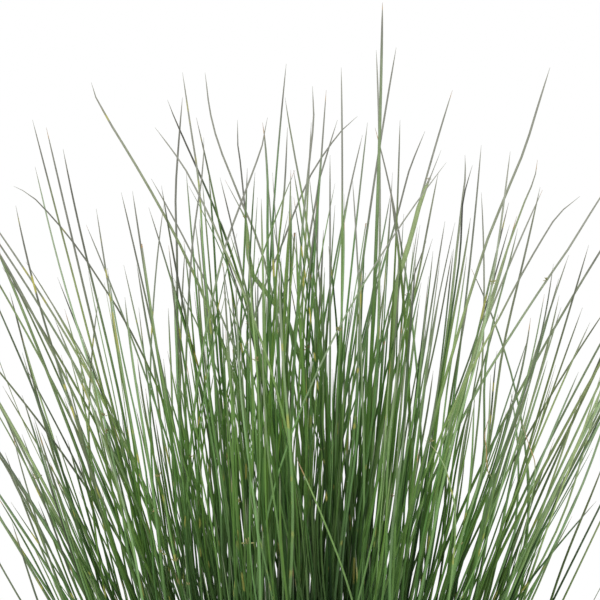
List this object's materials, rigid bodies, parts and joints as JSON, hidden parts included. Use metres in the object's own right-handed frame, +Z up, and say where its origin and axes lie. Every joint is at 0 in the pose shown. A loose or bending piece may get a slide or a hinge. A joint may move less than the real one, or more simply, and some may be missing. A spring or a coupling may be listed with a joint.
{
  "type": "potted ornamental grass clump",
  "caption": "Dense clump of round needle-tipped rush stems fanning up and out from a plain round nursery pot filled with potting mix.",
  "frame": {"origin": "middle of the pot's flat base, on the surface it rests on", "axes": "+Z up along the clump's height; the picture looks along +Y, with +X to its right"},
  "size_m": [0.6118, 0.528, 0.9169],
  "materials": {
    "pot_plastic": "matte charcoal moulded plastic, faint turning marks",
    "potting_mix": "dark brown bark-and-peat potting mix, rough and loose on top",
    "rush_stem": "smooth satin blue-green living stem, finely ribbed, straw to orange at some tips, brown sheath at the foot"
  },
  "bodies": {
    "root": {"pot": "pot_plastic", "potting_mix": "potting_mix", "tuft_01": "rush_stem", "tuft_02": "rush_stem", "tuft_03": "rush_stem", "tuft_04": "rush_stem", "tuft_05": "rush_stem", "tuft_06": "rush_stem", "tuft_07": "rush_stem", "tuft_08": "rush_stem", "tuft_09": "rush_stem", "tuft_10": "rush_stem", "tuft_11": "rush_stem", "tuft_12": "rush_stem", "tuft_13": "rush_stem", "tuft_14": "rush_stem", "tuft_15": "rush_stem", "tuft_16": "rush_stem", "tuft_17": "rush_stem", "tuft_18": "rush_stem", "tuft_19": "rush_stem", "tuft_20": "rush_stem", "tuft_21": "rush_stem", "tuft_22": "rush_stem", "tuft_23": "rush_stem", "tuft_24": "rush_stem", "tuft_25": "rush_stem", "tuft_26": "rush_stem", "tuft_27": "rush_stem", "tuft_28": "rush_stem", "tuft_29": "rush_stem", "tuft_30": "rush_stem", "tuft_31": "rush_stem", "tuft_32": "rush_stem", "tuft_33": "rush_stem", "tuft_34": "rush_stem", "tuft_35": "rush_stem", "tuft_36": "rush_stem", "tuft_37": "rush_stem", "tuft_38": "rush_stem", "tuft_39": "rush_stem", "tuft_40": "rush_stem", "tuft_41": "rush_stem", "tuft_42": "rush_stem", "tuft_43": "rush_stem", "tuft_44": "rush_stem", "tuft_45": "rush_stem", "tuft_46": "rush_stem", "tuft_47": "rush_stem", "tuft_48": "rush_stem", "tuft_49": "rush_stem", "tuft_50": "rush_stem", "tuft_51": "rush_stem", "tuft_52": "rush_stem", "tuft_53": "rush_stem", "tuft_54": "rush_stem", "tuft_55": "rush_stem", "tuft_56": "rush_stem"}
  },
  "joints": []
}
